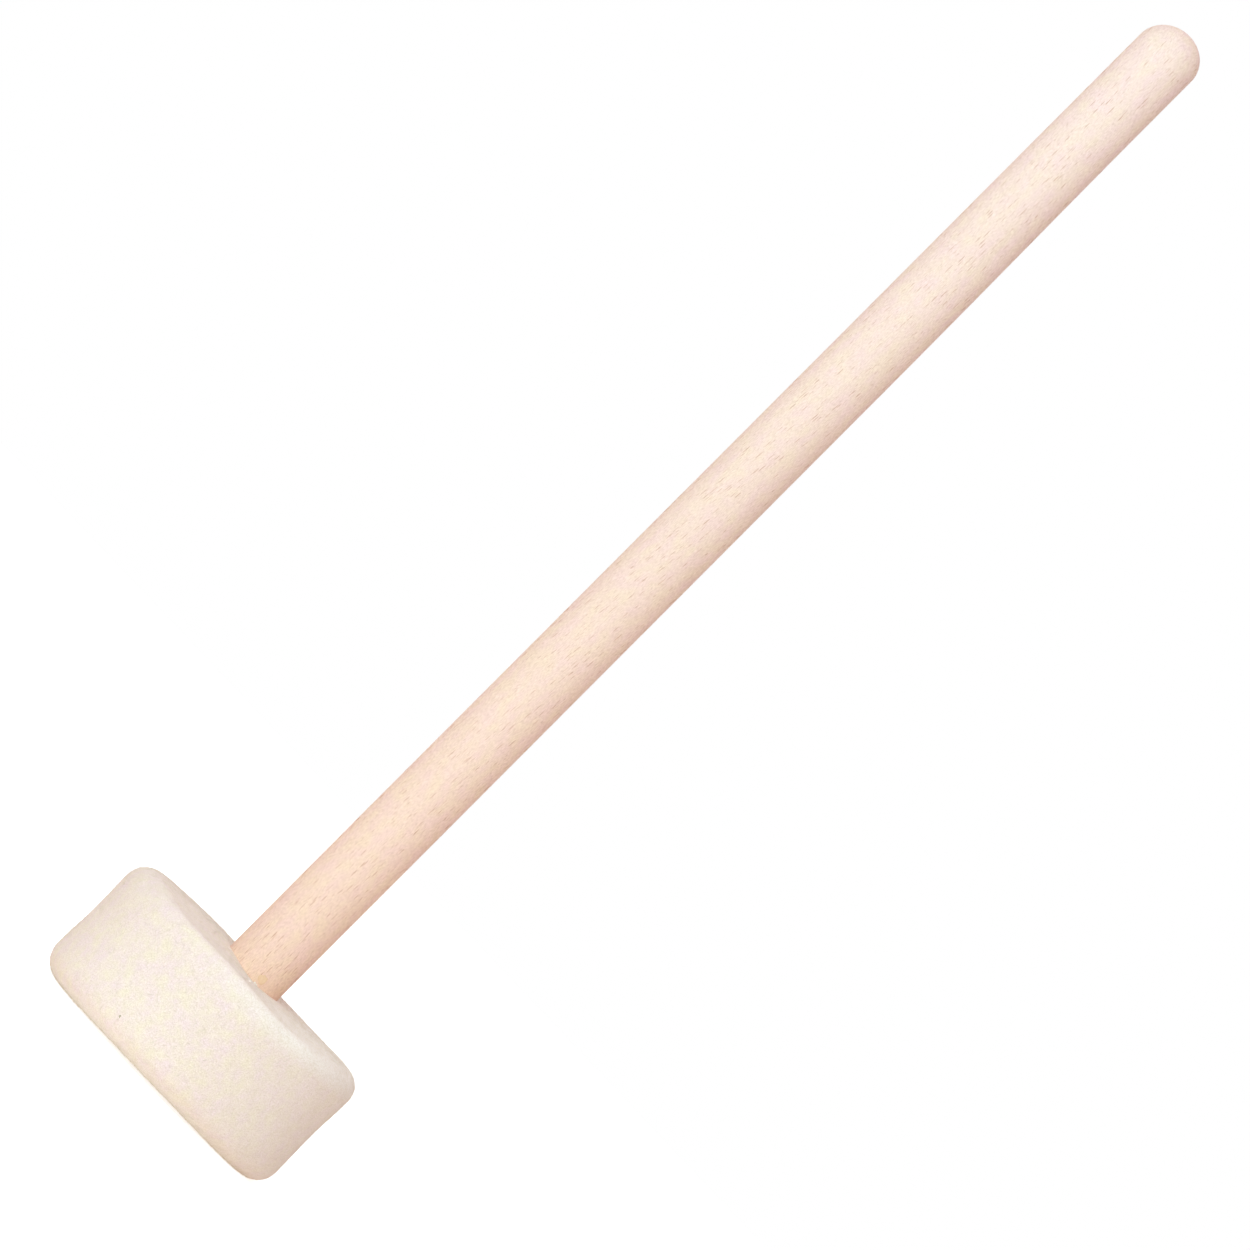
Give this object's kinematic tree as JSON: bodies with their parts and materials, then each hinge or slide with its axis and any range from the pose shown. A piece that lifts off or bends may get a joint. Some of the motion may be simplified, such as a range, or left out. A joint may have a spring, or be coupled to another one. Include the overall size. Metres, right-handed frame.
{
  "type": "felt mallet",
  "caption": "Mallet for bowls and gongs: a thick disc of pressed wool felt with rounded edges, set across the end of a straight round beech handle with a domed butt.",
  "frame": {"origin": "centre of the felt head's front face, the face that points away from the handle and that the mallet stands on", "axes": "+Z along the handle from the head to the domed butt; +X and +Y are any two directions across it, since the mallet is round"},
  "size_m": [0.0794, 0.0794, 0.37],
  "materials": {
    "beech": "pale beech, turned, sanded and left bare",
    "felt": "dense pressed off-white wool felt",
    "glue": "cured wood glue, pale and slightly clear"
  },
  "bodies": {
    "root": {"beech_handle": "beech", "felt_head": "felt", "glue_film": "glue"}
  },
  "joints": []
}
